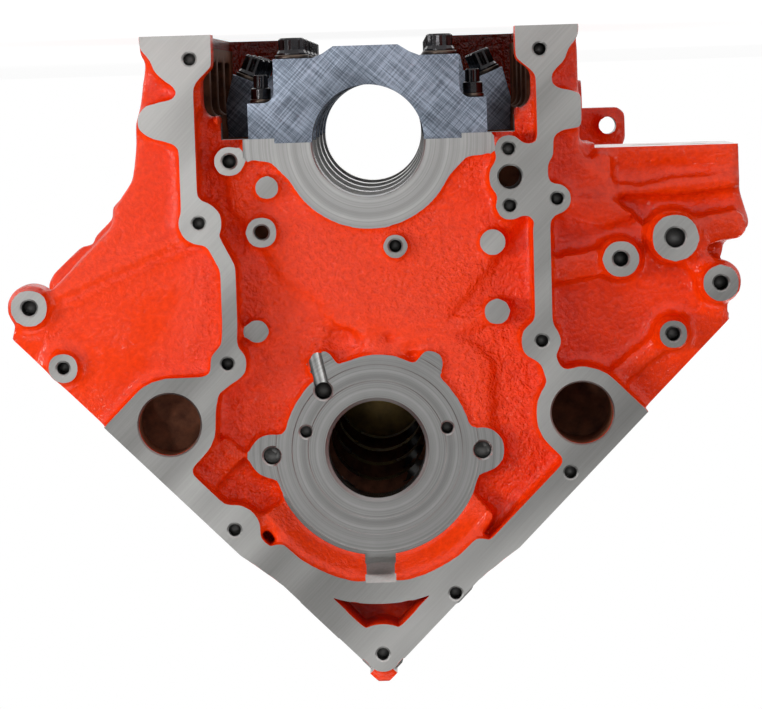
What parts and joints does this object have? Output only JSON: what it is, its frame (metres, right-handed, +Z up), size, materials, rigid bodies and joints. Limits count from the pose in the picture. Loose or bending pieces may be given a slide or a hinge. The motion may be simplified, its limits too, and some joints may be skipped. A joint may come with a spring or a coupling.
{
  "type": "engine block",
  "caption": "Deep-skirted vee engine block with a high camshaft, a machined timing flange, splayed main bearing caps and open cylinder bores.",
  "frame": {"origin": "on the crank line, where the first main bearing bore begins", "axes": "+Z up from the crank line to the camshaft, +Y from the front (timing) end to the rear, +X to the side of the forward cylinder bank"},
  "size_m": [0.464, 0.5312, 0.4045],
  "materials": {
    "cast_paint": "gloss enamel over rough casting",
    "cap_billet": "ground, fine crossed scratches",
    "bolt_black": "black oxide, oiled",
    "washer_dark": "black oxide, ground",
    "dowel_steel": "ground",
    "plug_brass": "dull pressed brass",
    "plug_steel": "plated"
  },
  "bodies": {
    "root": {"block": "cast_paint", "main_cap_1": "cap_billet", "main_cap_2": "cap_billet", "main_cap_3": "cap_billet", "main_cap_4": "cap_billet", "main_cap_5": "cap_billet", "inner_cap_bolts": "bolt_black", "inner_cap_washers": "washer_dark", "outer_cap_bolts": "bolt_black", "outer_cap_washers": "washer_dark", "splayed_cap_bolts": "bolt_black", "splayed_cap_washers": "washer_dark", "cap_dowels": "dowel_steel", "side_core_plugs": "plug_brass", "rear_core_plugs": "plug_brass", "rear_gallery_plugs": "plug_steel", "cam_plug": "plug_brass", "head_dowels": "dowel_steel", "bell_dowels": "dowel_steel", "drain_plugs": "plug_steel"}
  },
  "joints": []
}
